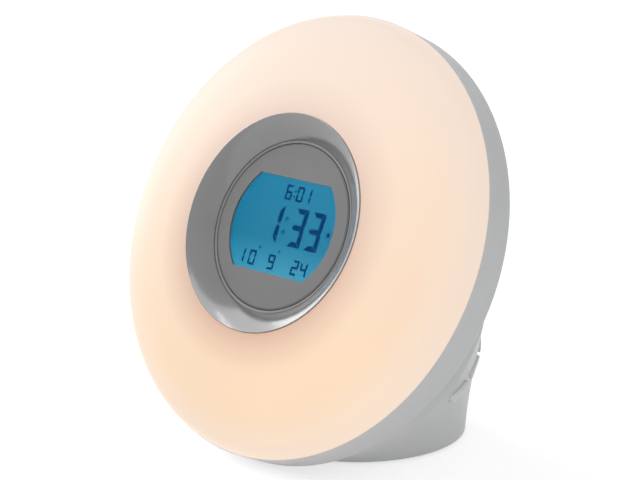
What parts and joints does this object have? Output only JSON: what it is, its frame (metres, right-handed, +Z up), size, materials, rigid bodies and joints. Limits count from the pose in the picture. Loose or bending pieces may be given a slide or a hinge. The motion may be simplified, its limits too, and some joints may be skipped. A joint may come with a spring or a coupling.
{
  "type": "sunrise alarm clock",
  "caption": "Bedside sunrise alarm clock: a glowing opal disc with a round display, leaning back on a trumpet-shaped foot with keys.",
  "frame": {"origin": "on the floor under the middle of the part's box", "axes": "+Z up; the lit disc faces -Y and leans back 25 degrees; +X to the right as seen from behind the camera that faces the disc"},
  "size_m": [0.2, 0.1336, 0.1891],
  "materials": {
    "grey_housing": "fine matt silver-grey",
    "opal_diffuser": "opal white, lit from behind",
    "gloss_bezel": "glossy silver-grey",
    "face_grey": "satin mid grey",
    "clear_lens": "clear",
    "display_cell": "blue back-lit display",
    "clear_plastic": "clear acrylic",
    "white_plastic": "matt white",
    "black_plastic": "matt black",
    "grey_rubber": "soft grey",
    "black_rubber": "matt black",
    "circuit_board": "green solder mask",
    "white_board": "white solder mask",
    "black_parts": "moulded black",
    "lamp_case": "yellow phosphor",
    "grey_base": "matt grey",
    "grey_key": "satin silver-grey",
    "steel": "plain zinc plated",
    "magnet": "dark ferrite",
    "paper_cone": "pressed paper"
  },
  "bodies": {
    "case": {"backup_cell": "steel", "base_plate": "grey_base", "base_screws": "steel", "battery_door": "grey_base", "battery_door_screw": "steel", "cell_contact": "steel", "contact_strips": "grey_rubber", "cup_screws": "steel", "diffuser": "opal_diffuser", "display_bezel": "gloss_bezel", "display_cup": "white_plastic", "display_face": "face_grey", "display_lens": "clear_lens", "key_board_screws": "steel", "lamp_board": "white_board", "lamps": "lamp_case", "lcd_cell": "display_cell", "lcd_holder": "black_plastic", "lcd_light_guide": "clear_plastic", "left_key_board": "circuit_board", "left_key_switches": "black_plastic", "main_board": "circuit_board", "main_board_parts": "black_parts", "main_board_screws": "steel", "power_board": "circuit_board", "power_board_screws": "steel", "power_inlet": "black_plastic", "power_parts": "black_parts", "rear_housing": "grey_housing", "reflector_tray": "white_plastic", "right_key_board": "circuit_board", "right_key_switches": "black_plastic", "rubber_feet": "black_rubber", "snooze_key_board": "circuit_board", "snooze_key_switches": "black_plastic", "speaker_basket": "steel", "speaker_cone": "paper_cone", "speaker_magnet": "magnet", "speaker_screws": "steel", "tray_screws": "steel"},
    "key_right_front_body": {"key_right_front": "grey_key"},
    "key_right_middle_body": {"key_right_middle": "grey_key"},
    "key_right_rear_body": {"key_right_rear": "grey_key"},
    "key_left_front_body": {"key_left_front": "grey_key"},
    "key_left_middle_body": {"key_left_middle": "grey_key"},
    "key_left_rear_body": {"key_left_rear": "grey_key"},
    "snooze_key_body": {"snooze_key": "grey_key"}
  },
  "joints": [
    {"name": "key_right_front_press", "type": "slide", "parent": "case", "child": "key_right_front_body", "axis": [-0.8266, -0.5085, 0.2411], "range_m": [0, 0.0006], "stiffness_N_per_m": 300},
    {"name": "key_right_middle_press", "type": "slide", "parent": "case", "child": "key_right_middle_body", "axis": [-0.8266, -0.5085, 0.2411], "range_m": [0, 0.0006], "stiffness_N_per_m": 300},
    {"name": "key_right_rear_press", "type": "slide", "parent": "case", "child": "key_right_rear_body", "axis": [-0.8266, -0.5085, 0.2411], "range_m": [0, 0.0006], "stiffness_N_per_m": 300},
    {"name": "key_left_front_press", "type": "slide", "parent": "case", "child": "key_left_front_body", "axis": [0.8266, -0.5085, 0.2411], "range_m": [0, 0.0006], "stiffness_N_per_m": 300},
    {"name": "key_left_middle_press", "type": "slide", "parent": "case", "child": "key_left_middle_body", "axis": [0.8266, -0.5085, 0.2411], "range_m": [0, 0.0006], "stiffness_N_per_m": 300},
    {"name": "key_left_rear_press", "type": "slide", "parent": "case", "child": "key_left_rear_body", "axis": [0.8266, -0.5085, 0.2411], "range_m": [0, 0.0006], "stiffness_N_per_m": 300},
    {"name": "snooze_key_press", "type": "slide", "parent": "case", "child": "snooze_key_body", "axis": [0, -0.9895, -0.1444], "range_m": [0, 0.0006], "stiffness_N_per_m": 300}
  ]
}
